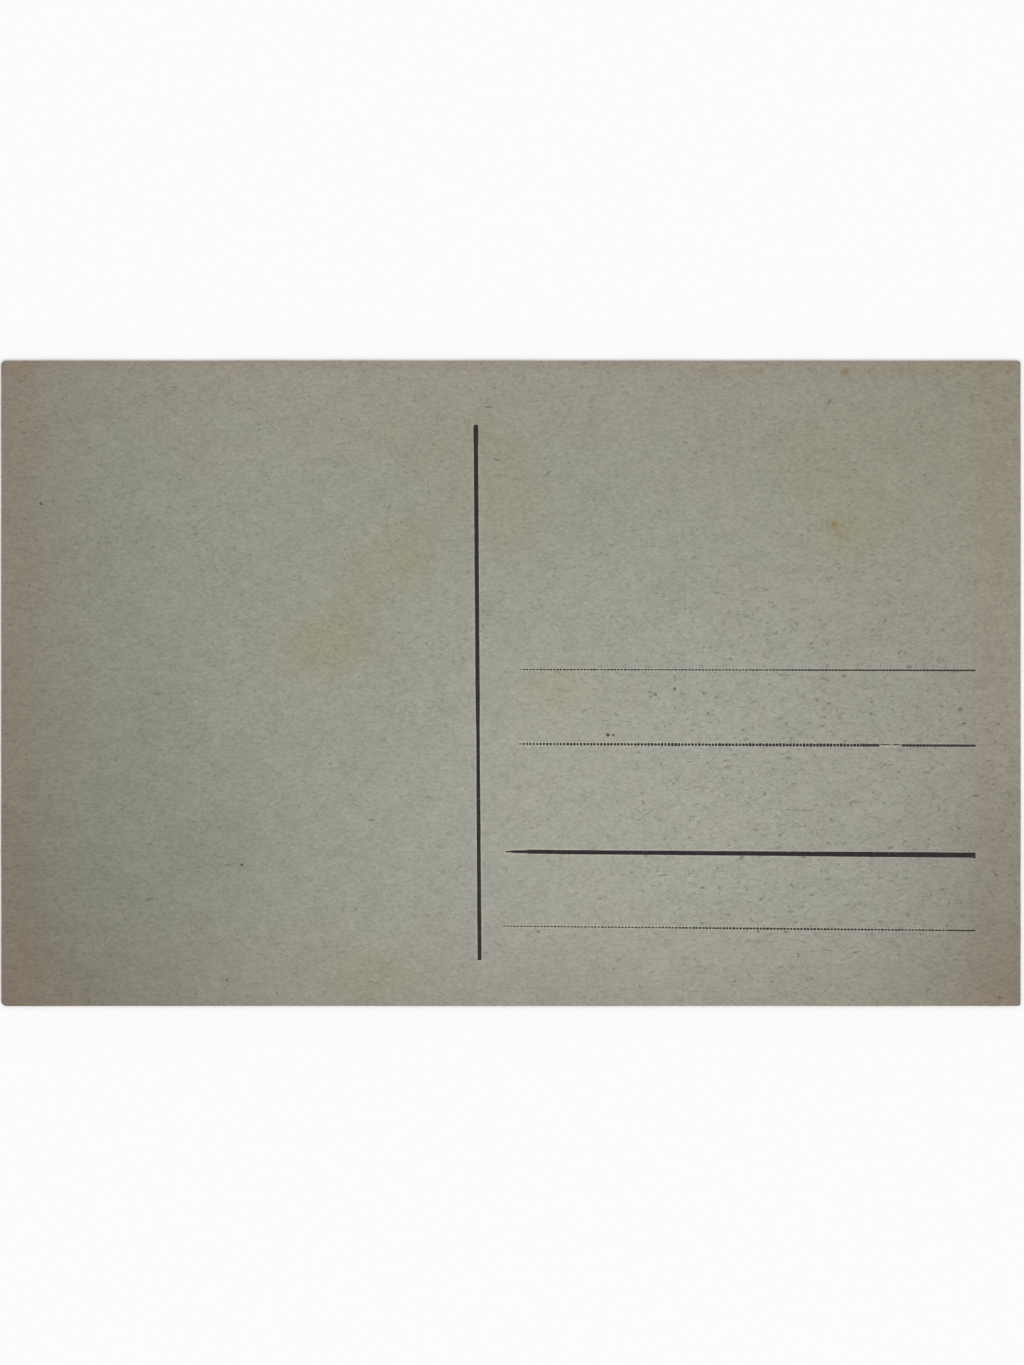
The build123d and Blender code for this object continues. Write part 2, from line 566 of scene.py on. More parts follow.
def address_liner():
    """The top ply with every bite of the type in it."""
    outer = worn_outline(LINER_SEED, 0.0)
    rim = outer + inward(outer) * TOP_EDGE_INSET
    flat = [tuple(p) for p in rim]
    height = [paper_height(x, y) - TOP_EDGE_DROP * RIM_DROP_SHARE for x, y in rim]
    edges = ring_pairs(0, len(rim))
    for strips in INK_STRIPS.values():
        for strip in strips:
            for grow, floor in ((BITE_SHOULDER, None), (0.0, BITE_FLOOR)):
                first = len(flat)
                line = strip.outline(grow)
                flat.extend(tuple(p) for p in line)
                height.extend(paper_height(x, y) if floor is None else floor for x, y in line)
                edges.extend(ring_pairs(first, len(line)))
    for x, y in SHEET_POINTS:
        flat.append((x, y))
        height.append(paper_height(x, y))
    sheet = delaunay_2d_cdt([Vector(p) for p in flat], edges, [], INSIDE_ONLY, JOIN_WITHIN, True)
    placed, _, faces, given, _, _ = sheet
    top = [
        (place.x, place.y, height[ids[0]] if ids else paper_height(place.x, place.y))
        for place, ids in zip(placed, given)
    ]
    where = {old: new for new, ids in enumerate(given) for old in ids}
    rim_ids = [where[i] for i in range(len(rim))]
    ring_place = {corner: i for i, corner in enumerate(rim_ids)}
    inner_faces = [tuple(f) for f in faces if not outside_rim(f, ring_place, rim)]
    count = len(outer)
    shoulder_first = len(top)
    foot_first = shoulder_first + count
    low_z = CARD_LOW.z
    high_z = [paper_height(x, y) - TOP_EDGE_DROP for x, y in outer]
    points = top + [(x, y, z) for (x, y), z in zip(outer, high_z)] + at_height(outer, low_z)
    walls = ring_wall(foot_first, shoulder_first, count)
    for i, j in ring_pairs(0, count):
        walls.append((shoulder_first + i, shoulder_first + j, rim_ids[j], rim_ids[i]))
    base = tuple(reversed(range(foot_first, foot_first + count)))
    return points, inner_faces + walls + [base]


liner_points, liner_faces = address_liner()
liner_piece = make_piece("back_liner", liner_points, liner_faces)

# %% [markdown]
# ## Laying the top ply out flat
# When the card is exported, its finish is baked into a picture. An automatic unwrap would give the
# printed face only part of that picture. Here the face fills almost all of it, and the base and the
# cut edge, which hardly show, share a thin strip below.

# %% Flat layout
LAYOUT_MARGIN = 0.01
FACE_STRIP = (0.05, 0.99)
BASE_STRIP = (0.002, 0.028)
WALL_STRIP = (0.034, 0.042)
FACING_UP = 0.3


def lay_flat(piece):
    """A UV map named for the bake, from each corner's place on the card."""
    layout = piece.data.uv_layers.new(name="OFBake")
    for face in piece.data.polygons:
        strip = WALL_STRIP
        if face.normal.z > FACING_UP:
            strip = FACE_STRIP
        elif face.normal.z < -FACING_UP:
            strip = BASE_STRIP
        for corner in face.loop_indices:
            place = piece.data.vertices[piece.data.loops[corner].vertex_index].co / MM
            right = (place.x - CARD_LOW.x) / CARD_LENGTH
            up = (place.y - CARD_LOW.y) / CARD_HEIGHT
            if strip is WALL_STRIP:
                right = (right + up) / 2
                up = (place.z - CARD_LOW.z) / (CARD_HIGH.z - CARD_LOW.z)
            u = LAYOUT_MARGIN + (1 - 2 * LAYOUT_MARGIN) * right
            layout.uv[corner].vector = (u, strip[0] + (strip[1] - strip[0]) * up)
    print("laid out", len(layout.uv), "corners")


lay_flat(liner_piece)

# %% [markdown]
# ## Ink on the floor of each bite
# The ink is a thin film with a softened rim. Each patch is a small closed solid, and each point
# keeps how dense its ink is, so that the finish can show starved dots paler than full ones.

# %% Five printed rules
INK_RIM = 0.006


def patch_of_ink(strip, first):
    """Points, faces and densities of one patch, numbered from first."""
    lower_right, lower_left = strip.sides(0.0)
    upper_right, upper_left = strip.sides(-INK_RIM)
    count = len(strip.stations)
    points = (
        at_height(lower_right, BITE_FLOOR)
        + at_height(lower_left, BITE_FLOOR)
        + at_height(upper_right, INK_TOP)
        + at_height(upper_left, INK_TOP)
    )
    right, left, top_right, top_left = (first + i * count for i in range(4))
    last = count - 1
    faces = [
        (right, top_right, top_left, left),
        (right + last, left + last, top_left + last, top_right + last),
    ]
    for i in range(last):
        faces.append((top_right + i, top_right + i + 1, top_left + i + 1, top_left + i))
        faces.append((right + i, left + i, left + i + 1, right + i + 1))
        faces.append((right + i, right + i + 1, top_right + i + 1, top_right + i))
        faces.append((left + i + 1, left + i, top_left + i, top_left + i + 1))
    return points, faces, list(strip.density) * 4


def make_rule(rule_name):
    """All patches of one rule as one piece, with the ink's density kept on its points."""
    points, faces, densities = [], [], []
    for strip in INK_STRIPS[rule_name]:
        patch_points, patch_faces, patch_densities = patch_of_ink(strip, len(points))
        points += patch_points
        faces += patch_faces
        densities += patch_densities
    piece = make_piece(rule_name, points, faces)
    kept = piece.data.attributes.new("ink_density", "FLOAT", "POINT")
    kept.data.foreach_set("value", np.array(densities, np.float32))


for rule_name in INK_STRIPS:
    make_rule(rule_name)

# %% [markdown]
# ## Sums on a surface
# A finish is a tree of shader nodes, and each output of a node is a number, a place or a colour that
# varies over the surface. A small class wraps such an output here, so that a sum on it is written as a
# plain sum and adds its own node. Colours are written as a screen shows them, from 0 to 255.


# %% Fields and nodes
class Field:
    """One output of a shader node."""

    def __init__(self, socket):
        self.socket = socket

    def beside(self, output):
        """Another output of the same node."""
        return Field(self.socket.node.outputs[output])

    def __add__(self, other):
        return calc("ADD", self, other)

    def __sub__(self, other):
        return calc("SUBTRACT", self, other)

    def __rsub__(self, other):
        return calc("SUBTRACT", other, self)

    def __mul__(self, other):
        return calc("MULTIPLY", self, other)

    def __truediv__(self, other):
        return calc("DIVIDE", self, other)

    def __abs__(self):
        return calc("ABSOLUTE", self)


def add_node(kind, inputs, output=0, tree=None, **options):
    """Adds a node, to the tree of its fields if none is given, and returns one of its outputs."""
    sockets = {key: value.socket for key, value in inputs.items() if isinstance(value, Field)}
    if tree is None:
        tree = next(iter(sockets.values())).id_data
    made = tree.nodes.new("ShaderNode" + kind)
    for option, value in options.items():
        setattr(made, option, value)
    for key, value in inputs.items():
        if key in sockets:
            tree.links.new(sockets[key], made.inputs[key])
        else:
            made.inputs[key].default_value = value
    return Field(made.outputs[output])


def calc(operation, first, second=0.0):
    """One sum on two numbers."""
    return add_node("Math", {0: first, 1: second}, operation=operation)


def vector(operation, inputs, output=0):
    """One sum on places."""
    return add_node("VectorMath", inputs, output, operation=operation)


def split(place):
    """How far a place lies right of the card's middle and above it, in mm."""
    right = add_node("SeparateXYZ", {0: place}, "X")
    return right, right.beside("Y")


# %% Ramps and tints
def rgb(red, green, blue):
    """A colour as a screen shows it, turned into linear light by the curve that screens use."""
    shares = [c / 255 for c in (red, green, blue)]
    return [s / 12.92 if s <= 0.04045 else ((s + 0.055) / 1.055) ** 2.4 for s in shares] + [1.0]


def ramp(value, start, end, at_start, at_end):
    """A number that goes softly from one value at start to another at end."""
    inputs = {0: value, 1: start, 2: end, 3: at_start, 4: at_end}
    return add_node("MapRange", inputs, interpolation_type="SMOOTHSTEP")


def tint(amount, under, over, blend="MIX"):
    """Colour under, with colour over blended in by an amount."""
    return add_node("Mix", {0: amount, 6: under, 7: over}, 2, data_type="RGBA", blend_type=blend)


def shade(amount, colour, tone):
    """A colour multiplied by a tone, as a stain does it."""
    return tint(amount, colour, tone, "MULTIPLY")


print("middle grey of a screen in linear light:", round(rgb(128, 128, 128)[0], 3))

# %% Noise and ovals
FAR_AWAY = 1000.0
NOISE_MIDDLE = 0.5


def grain(place, size, detail=2.0, roughness=0.6, upright=1.0):
    """Cloudy noise from 0 to 1, whose clouds have about the given size in mm along and across."""
    along, across = size
    stretched = vector("MULTIPLY", {0: place, 1: (1 / along, 1 / across, 1 / upright)})
    inputs = {"Vector": stretched, "Scale": 1.0, "Detail": detail, "Roughness": roughness}
    return add_node("TexNoise", inputs, "Fac")


def patches(place, size, limits, values=(0.0, 1.0), detail=2.0, roughness=0.6):
    """Soft patches: noise of a size, ramped between two limits to two values."""
    return ramp(grain(place, size, detail, roughness), *limits, *values)


def drifted(place, *drifts):
    """The place shifted by noise. Each drift is a wave and a shift in mm."""
    for wave, shift in drifts:
        clouds = grain(place, (wave, wave)).beside("Color")
        centred = vector("SUBTRACT", {0: clouds, 1: (NOISE_MIDDLE, NOISE_MIDDLE, NOISE_MIDDLE)})
        place = vector("ADD", {0: place, 1: vector("SCALE", {0: centred, "Scale": 2 * shift})})
    return place


def seen_from(place, turn, reach=None, centre=(0.0, 0.0)):
    """The place seen from a centre in mm, turned by degrees, and counted in reaches if one is given."""
    inputs = {
        "Vector": place,
        "Location": (*centre, 0.0),
        "Rotation": (0.0, 0.0, math.radians(turn)),
        "Scale": (*reach, FAR_AWAY) if reach else (1.0, 1.0, 1.0),
    }
    return add_node("Mapping", inputs, vector_type="TEXTURE")


def oval_distance(place, centre, reach, turn=0.0):
    """Distance from a centre, where 1 is the rim of an oval with that reach in mm."""
    return vector("LENGTH", {0: seen_from(place, turn, reach, centre)}, "Value")


# %% [markdown]
# ## Age of the paper, and painted light and shade
# Cheap wood-pulp board darkens with the years, most of all along the edges that the air reaches.
# This card is brown along its sides. It is palest right of the middle, partly as a painted pool of
# light, and darker towards its edges and corners, most of all on the left, partly from toning and
# partly as painted shade. An image would hold that at once, but soft steps across the card say why
# each part is darker, and stay sharp at any size. The card's place is first shifted by noise, so
# that no band runs straight.

# %% Tone of the bare board
BOARD_GREY = rgb(150, 150, 139)
# Palest board colour, at the heart of a patch that is partly a painted pool of light
BOARD_PALE_AND_LIT = rgb(162, 162, 150)
BROWN_SHADE = (1.0, 0.86, 0.81, 1.0)
# Tone of the darker edges and corners: partly toning, partly painted shade
TONING_AND_SHADE_TONE = (0.68, 0.675, 0.65, 1.0)
YELLOW_SHADE = (0.975, 0.99, 0.88, 1.0)
# Middle and reach of the pale patch, partly a painted pool of light, in mm from the middle of the card,
# and the share of it that is palest
PALE_AND_LIT_PATCH, PALE_AND_LIT_CORE = ((17.0, -18.0), (60.0, 54.0)), 0.05
# Browning in from an edge: side, mm from that edge where it is full and where it is gone, strength
WIDE_BROWN = (
    ("left", 2.0, 16.0, 0.36),
    ("right", 6.0, 42.0, 0.12),
    ("top", 4.0, 22.0, 0.12),
    ("bottom", 2.0, 15.0, 0.26),
)
NARROW_BROWN = (
    ("left", 3.2, 6.6, 0.4),
    ("right", 5.2, 9.2, 0.42),
    ("top", 0.6, 2.6, 0.5),
    ("bottom", 0.0, 2.0, 0.2),
)
# Brown corners and the yellowed stamp corner: middle, reach and strength
BROWN_CORNERS = (((-69.5, -44.0), (26.0, 24.0), 0.3), ((69.5, -44.0), (24.0, 17.0), 0.18))
YELLOW_CORNERS = (((52.0, 31.0), (48.0, 40.0), 0.55),)
# Darker parts, partly toning and partly painted shade: sides in the terms of the browning, corners in
# those above
TONED_AND_SHADED_SIDES = (("left", -8.0, 43.0, 0.74), ("right", -4.0, 30.0, 0.16), ("bottom", -2.0, 10.0, 0.12))
TONED_AND_SHADED_CORNERS = (
    ((-60.0, -34.0), (45.0, 47.0), 0.43),
    ((69.5, -38.0), (25.0, 34.0), 0.54),
    ((58.0, 40.0), (48.0, 26.0), 0.16),
)
# Drifts of wide and of narrow bands: wave and shift in mm
WIDE_DRIFTS = ((14.0, 5.0), (2.5, 1.0))
NARROW_DRIFTS = ((11.0, 1.2), (2.0, 0.6))
# Slow change of hue over the sheet, from uneven pulp: size in mm, limits and values of the noise
PULP_SHADE = (1.0, 0.97, 0.945, 1.0)
PULP_PATCHES = ((5.0, 5.0), (0.3, 0.7), (0.0, 0.45))


def from_edge(place, side, full, gone, strength):
    """Strength of something that comes in from one edge of the card and fades out."""
    right, up = split(place)
    edges = {
        "left": (right, CARD_LOW.x, 1),
        "right": (right, CARD_HIGH.x, -1),
        "top": (up, CARD_HIGH.y, -1),
        "bottom": (up, CARD_LOW.y, 1),
    }
    along, edge, inwards = edges[side]
    return ramp(along, edge + inwards * full, edge + inwards * gone, strength, 0.0)


def round_corner(place, centre, reach, strength):
    """Strength of something that fades out round a centre."""
    return ramp(oval_distance(place, centre, reach), 0.0, 1.0, strength, 0.0)


def board_tone(place):
    """Colour of the bare board with its age, and with painted light and shade across it."""
    wide = drifted(place, *WIDE_DRIFTS)
    narrow = drifted(place, *NARROW_DRIFTS)
    # The pale patch is partly a painted pool of light
    away_from_lit_patch = ramp(oval_distance(wide, *PALE_AND_LIT_PATCH), PALE_AND_LIT_CORE, 1.0, 0.0, 1.0)
    colour = tint(away_from_lit_patch, BOARD_PALE_AND_LIT, BOARD_GREY)
    changes = (
        # The darker sides and corners are partly toning and partly painted shade
        (TONING_AND_SHADE_TONE, from_edge, wide, TONED_AND_SHADED_SIDES),
        (TONING_AND_SHADE_TONE, round_corner, wide, TONED_AND_SHADED_CORNERS),
        (BROWN_SHADE, round_corner, wide, BROWN_CORNERS),
        (BROWN_SHADE, from_edge, wide, WIDE_BROWN),
        (BROWN_SHADE, from_edge, narrow, NARROW_BROWN),
        (YELLOW_SHADE, round_corner, wide, YELLOW_CORNERS),
    )
    for tone, strength_of, bands, parts in changes:
        for part in parts:
            colour = shade(strength_of(bands, *part), colour, tone)
    return shade(patches(place, *PULP_PATCHES), colour, PULP_SHADE)


print("brown edges:", len(WIDE_BROWN), "wide and", len(NARROW_BROWN), "narrow")

# %% [markdown]
# ## Stains
# Something yellowish has soaked into the card in a chain of soft blots, and two specks of rust have
# bled. Each blot is an oval whose rim noise has pulled out of shape. They multiply the paper's own
# colour, as a real stain does, so the fibres still show through.

# %% Blots and rust
STAIN_SHADE = (0.97, 0.955, 0.79, 1.0)
RUST_SHADE = (0.82, 0.68, 0.42, 1.0)
# Each spot: mm right of the card's left edge and below its top edge, half-length, half-width, turn, strength
BLOTS = {
    "left_blot": (44.5, 38.0, 8.0, 5.6, 15, 1.0),
    "left_blot_tail": (49.0, 32.0, 5.5, 3.6, 55, 0.7),
    "middle_blot": (54.3, 26.2, 7.2, 5.0, 30, 0.85),
    "divider_blot": (69.3, 17.5, 5.2, 9.6, 0, 0.75),
    "divider_blot_left": (57.0, 11.5, 11.0, 4.6, -8, 0.4),
    "divider_blot_inner": (62.1, 16.3, 4.5, 8.0, 0, 0.4),
    "divider_blot_top": (66.3, 9.6, 3.2, 4.2, 0, 0.6),
    "stamp_blot": (110.0, 14.5, 6.5, 5.0, -35, 0.5),
    "stamp_blot_low": (116.6, 22.4, 6.3, 4.8, 20, 0.55),
    "stamp_blot_small": (112.4, 17.4, 0.9, 0.8, 0, 0.6),
    "first_line_blot": (75.8, 44.7, 5.4, 3.3, 0, 0.68),
    "bottom_blot": (50.4, 83.8, 6.2, 3.5, 0, 0.72),
}
RUST_SPOTS = {
    "top_rust": (115.0, 1.55, 0.75, 0.5, 30, 0.85),
    "stamp_rust": (113.6, 22.4, 0.7, 0.75, 0, 0.85),
    "stamp_rust_halo": (114.2, 23.2, 2.3, 1.5, -20, 0.25),
}
# Where the soft rim of a spot starts and ends, as shares of its size, and the drifts that pull it about
BLOT_RIM, BLOT_DRIFTS = (0.35, 1.25), ((5.5, 3.2), (1.1, 0.6))
RUST_RIM, RUST_DRIFT = (0.2, 1.3), (0.5, 0.25)
# Some patches of pulp drank less of the stain: size in mm, limits and values of the noise
SOAKED_PATCHES = ((2.2, 1.8), (0.35, 0.6), (0.75, 1.0))


def together(masks):
    """The strongest of several masks at each place."""
    joined = masks[0]
    for mask in masks[1:]:
        joined = calc("MAXIMUM", joined, mask)
    return joined


def spots_on_card(place, spots, rim):
    """How much of each named spot covers a place, from 0 to its strength."""
    masks = []
    for from_left, below_top, half_length, half_width, turn, strength in spots.values():
        centre = (CARD_LOW.x + from_left, CARD_HIGH.y - below_top)
        distance = oval_distance(place, centre, (half_length, half_width), turn)
        masks.append(ramp(distance, *rim, strength, 0.0))
    return masks


def stained(place, colour):
    """The board's colour with its blots and rust."""
    blots = together(spots_on_card(drifted(place, *BLOT_DRIFTS), BLOTS, BLOT_RIM))
    colour = shade(blots * patches(place, *SOAKED_PATCHES), colour, STAIN_SHADE)
    rust = together(spots_on_card(drifted(place, RUST_DRIFT), RUST_SPOTS, RUST_RIM))
    return shade(rust, colour, RUST_SHADE)


print("stains:", len(BLOTS), "ovals of blots and", len(RUST_SPOTS), "of rust")

# %% [markdown]
# ## Pulp, flecks and fibres
# Seen close, the board is a felt of grey fibres with bark and ink specks from recycled stock. Noise
# stretched along the sheet, which is how fibres lie on the paper machine, makes the felt.
# Flecks come from cells scattered at random: in each cell a draw decides whether there is a fleck
# and how large it is. The few marks that anyone would notice first are listed one by one.

# %% Flecks and fibres
# Each layer of flecks: turn, cell in mm along and across, largest fleck as a share of a cell, share of cells
FLECK_LAYERS = (
    (4, (3.2, 1.3), 0.12, 0.22),
    (42, (2.8, 1.4), 0.1, 0.18),
    (-35, (2.8, 1.4), 0.1, 0.18),
    (15, (1.9, 1.7), 0.1, 0.2),
)
# Coarser bark, and a few darker specks
BARK_LAYERS = ((8, (3.0, 1.7), 0.17, 0.24), (-30, (2.6, 1.5), 0.16, 0.2), (55, (2.4, 1.6), 0.16, 0.18))
SPECK_LAYERS = ((6, (4.6, 2.0), 0.1, 0.11), (48, (4.0, 2.2), 0.085, 0.06), (-28, (4.2, 2.2), 0.085, 0.06))
# Least size of a fleck beside the span of sizes, least strength, and where its soft rim starts and ends
FLECK_LEAST, FLECK_FAINTEST, FLECK_RIM = 0.35, 0.3, (0.5, 1.1)
ALMOST_NOUGHT = 0.0001
# Each layer of hairs: turn, then length and width in mm
HAIR_LAYERS = (
    (2, (1.9, 0.15)),
    (-14, (1.6, 0.15)),
    (18, (1.7, 0.15)),
    (50, (1.2, 0.16)),
    (-48, (1.2, 0.16)),
)
# Limits, values, detail and roughness of the noise whose peaks are hairs
HAIR_PEAKS = ((0.67, 0.79), (0.0, 1.0), 1.0, 0.4)


def layered(mask_of, place, rows):
    """Masks made from several rows, one over the other."""
    return together([mask_of(place, *row) for row in rows])


def fleck_layer(place, turn, cell, largest, share):
    """Flecks of one direction, from 0 to 1."""
    inputs = {"Vector": seen_from(place, turn, cell), "Scale": 1.0}
    distance = add_node("TexVoronoi", inputs, "Distance", voronoi_dimensions="2D")
    draw = add_node("SeparateColor", {0: distance.beside("Color")}, "Red")
    size = (draw.beside("Green") + FLECK_LEAST) * (largest / (1 + FLECK_LEAST))
    size = size * calc("LESS_THAN", draw, share)
    strength = draw.beside("Blue") * (1 - FLECK_FAINTEST) + FLECK_FAINTEST
    return ramp(distance / (size + ALMOST_NOUGHT), *FLECK_RIM, 1.0, 0.0) * strength


def hair_layer(place, turn, size):
    """Long fibres of one direction, where stretched noise is at its highest."""
    return patches(seen_from(place, turn), size, *HAIR_PEAKS)


print("layers of flecks, bark and specks:", len(FLECK_LAYERS), len(BARK_LAYERS), len(SPECK_LAYERS))

# %% Felt and marks
# Each grain of the felt: size in mm, detail, roughness, strength
FELT = (((0.62, 0.38), 2.0, 0.6, 0.48), ((0.24, 0.18), 1.0, 0.5, 0.2), ((3.0, 2.2), 2.0, 0.6, 0.2))
FLECK_SHADE = (0.66, 0.65, 0.62, 1.0)
BARK_SHADE = (0.6, 0.59, 0.56, 1.0)
SPOT_SHADE = (0.16, 0.15, 0.14, 1.0)
SPECK_STRENGTH = 0.5
# Hairs, bark and specks are darkest round this middle, and beyond its reach only these shares of them show
COARSE_PART, COARSE_CORE = ((42.0, -13.0), (48.0, 42.0)), 0.3
HAIR_ELSEWHERE, BARK_ELSEWHERE, SPECK_ELSEWHERE = 0.6, 0.3, 0.5
FLECK_DRIFT, HAIR_DRIFT = (0.6, 0.12), (1.5, 0.5)
# Marks that stand out, in the terms of the stains
MARKS = {
    "spot_over_second_rule": (82.7, 51.0, 0.30, 0.26, 0, 1.0),
    "spot_beside_it": (83.4, 51.0, 0.23, 0.20, 0, 0.85),
    "spot_under_first_rule": (91.8, 44.7, 0.28, 0.22, 80, 0.75),
    "smear_above_that_spot": (91.8, 43.2, 0.50, 0.18, 90, 0.3),
    "smudge_under_first_rule": (89.15, 45.5, 0.34, 0.25, -30, 0.6),
    "tail_of_the_smudge": (88.55, 45.2, 0.45, 0.17, -15, 0.45),
    "fleck_over_first_rule": (81.7, 41.65, 0.35, 0.16, 10, 0.4),
    "fleck_over_first_rule_right": (110.5, 38.5, 0.32, 0.15, -8, 0.6),
    "spot_at_left": (5.4, 19.5, 0.30, 0.24, -35, 0.7),
    "spot_low_left": (32.8, 68.7, 0.30, 0.21, 18, 0.8),
    "fleck_at_bottom_left": (30.8, 84.4, 0.36, 0.18, 13, 0.45),
    "fibre_by_divider": (66.4, 6.3, 0.62, 0.18, -5, 0.45),
    "fibre_right_of_divider": (74.5, 15.4, 0.75, 0.17, 37, 0.45),
    "short_fibre_by_divider": (67.5, 13.5, 0.48, 0.17, -20, 0.5),
    "fibre_under_rust": (112.9, 5.7, 0.60, 0.19, 57, 0.45),
    "fibre_lower_middle": (50.5, 62.6, 0.55, 0.18, 0, 0.5),
    "fibre_low_left": (20.3, 73.4, 0.75, 0.15, 7, 0.45),
    "fibre_middle": (52.9, 19.9, 0.46, 0.18, 39, 0.45),
    "fibre_below_town_rule": (115.3, 74.1, 0.52, 0.18, 3, 0.4),
    "fleck_below_last_rule": (73.2, 77.8, 0.38, 0.19, -8, 0.5),
    "blot_on_last_rule": (103.2, 77.75, 0.28, 0.22, 0, 0.55),
    "blot_beside_it": (107.0, 77.85, 0.30, 0.25, 0, 0.6),
    "fibre_below_last_rule": (116.5, 80.6, 0.85, 0.16, 15, 0.4),
    "speck_at_corner": (136.1, 86.8, 0.25, 0.20, -40, 0.6),
    "fibre_over_last_rule": (90.3, 70.1, 0.80, 0.16, 4, 0.4),
}
MARK_RIM = (0.35, 1.25)


def felted(place, colour):
    """The colour broken up by pulp, flecks and marks, and the height of the felt."""
    heights = []
    light = 1.0
    for size, detail, roughness, strength in FELT:
        heights.append(grain(place, size, detail, roughness))
        light = (heights[-1] - NOISE_MIDDLE) * strength + light
    colour = shade(1.0, colour, add_node("CombineColor", {0: light, 1: light, 2: light}))
    from_coarse = oval_distance(place, *COARSE_PART)

    def fading(most, elsewhere):
        """A strength that falls to a share of itself away from the coarse part."""
        return ramp(from_coarse, COARSE_CORE, 1.0, most, most * elsewhere)

    wriggled = drifted(place, FLECK_DRIFT)
    colour = shade(layered(fleck_layer, wriggled, FLECK_LAYERS), colour, FLECK_SHADE)
    hairs = layered(hair_layer, drifted(place, HAIR_DRIFT), HAIR_LAYERS)
    colour = shade(hairs * fading(1.0, HAIR_ELSEWHERE), colour, FLECK_SHADE)
    bark = layered(fleck_layer, wriggled, BARK_LAYERS)
    colour = shade(bark * fading(1.0, BARK_ELSEWHERE), colour, BARK_SHADE)
    specks = layered(fleck_layer, wriggled, SPECK_LAYERS) * fading(SPECK_STRENGTH, SPECK_ELSEWHERE)
    marks = spots_on_card(wriggled, MARKS, MARK_RIM)
    return shade(together(marks + [specks]), colour, SPOT_SHADE), heights[0]


print("marks set by hand:", len(MARKS))

# %% [markdown]
# ## Along the sides of each rule the paper is painted a little paler: a painted highlight.
# The edge of the type presses the paper hardest, and the squeezed fibres along it look a little paler.
# A pale rim could be painted with a mask on the mesh, but the rules are straight, so the distance from
# each rule's centre line is enough. With that the address side has all its parts, and one function
# turns a colour and a height into a finish.

# %% From paint to finish
def finish(name, look, paint, *values):
    """A material. Its paint is a function of the place in mm that gives a colour and a height from 0 to 1.

    Its look is the shine, the ramp from height to roughness, and the relief's depth in mm and strength.
    """
    material = bpy.data.materials.new(name)
    material.use_nodes = True
    tree = material.node_tree
    shader = tree.nodes["Principled BSDF"].inputs
    where = add_node("TexCoord", {}, "Object", tree)
    place = vector("SCALE", {0: where, "Scale": 1 / MM})
    colour, height = paint(place, *values)
    shine, to_roughness, (depth, strength) = look
    relief = add_node("Bump", {"Height": height, "Distance": depth * MM, "Strength": strength})
    shader["Specular IOR Level"].default_value = shine
    fields = {"Base Color": colour, "Roughness": ramp(height, *to_roughness), "Normal": relief}
    for socket, field in fields.items():
        tree.links.new(field.socket, shader[socket])
    return material


def dress(material, *node_names):
    """Gives the pieces of some nodes their finish."""
    for node_name in node_names:
        MADE[node_name].data.materials.append(material)
    print(material.name, "has", len(material.node_tree.nodes), "nodes and is on", *node_names)


# %% Pale rims of painted highlight, and the address side's finish
# A painted highlight: the paper beside each rule is made paler
HALO_HIGHLIGHT_TONE = (1.13, 1.13, 1.13, 1.0)
HALO_HIGHLIGHT_WIDTH = 0.26
PAPER_LOOK = (0.25, (0.2, 0.8, 0.96, 0.82), (0.012, 0.6))


def painted_highlight_beside_rules(place):
    """How near each place is to the side of a rule, from 0 to 1."""
    halos = []
    for rule_name, (start, end) in ENDS.items():
        lean = math.degrees(math.atan2(end[1] - start[1], end[0] - start[0]))
        along, across = split(seen_from(place, lean, centre=(start + end) / 2))
        half_width = float(np.median([strip.left_half.max() for strip in INK_STRIPS[rule_name]]))
        half_length = LENGTHS[rule_name] / 2
        near_side = ramp(abs(across), half_width, half_width + HALO_HIGHLIGHT_WIDTH, 1.0, 0.0)
        halos.append(near_side * ramp(abs(along), half_length, half_length + HALO_HIGHLIGHT_WIDTH, 1.0, 0.0))
    return together(halos)


def address_paper(place):
    """Aged, stained and flecked matt board, with painted light, shade and highlights on it."""
    colour = stained(place, board_tone(place))
    # The pale rims beside the rules are a painted highlight
    return felted(place, shade(painted_highlight_beside_rules(place), colour, HALO_HIGHLIGHT_TONE))


dress(finish("address_paper", PAPER_LOOK, address_paper), "back_liner")

# %% [markdown]
# ## Printing ink
# Letterpress ink dries to a soft purplish black, thinner where the paper's pits kept the type away.
# The density kept on each point pales the starved dots, and a fine noise leaves pinholes.

# %% Ink on the rules
INK_FULL = rgb(34, 29, 33)
INK_THIN = rgb(47, 42, 44)
INK_STARVED = rgb(122, 119, 110)
INK_LOOK = (0.12, (0.3, 0.7, 0.5, 0.72), (0.006, 0.5))
MOTTLE_SIZE, THIN_LIMITS = (0.5, 0.5), (0.35, 0.7)
# Pinholes: size in mm, limits, values and detail of their noise
PINHOLES = ((0.12, 0.12), (0.66, 0.76), (0.0, 0.7), 1.0)


def rule_ink(place):
    """Matt letterpress ink with pinholes."""
    mottle = grain(place, MOTTLE_SIZE)
    colour = tint(ramp(mottle, *THIN_LIMITS, 0.0, 1.0), INK_FULL, INK_THIN)
    colour = tint(patches(place, *PINHOLES), colour, INK_STARVED)
    tree = place.socket.id_data
    density = add_node("Attribute", {}, "Fac", tree, attribute_name="ink_density")
    return tint(1.0 - density, colour, INK_STARVED), mottle


dress(finish("rule_ink", INK_LOOK, rule_ink), *INK_STRIPS)

# %% [markdown]
# ## Cut edges
# From the side the card shows its plies: grey liners round a coarser, browner core, with the dried
# paste between them. Paper is a stack of flat fibres, so a cut through it shows fine level lines. One
# noise pressed flat makes them, and a wider one makes the ply uneven along the edge.

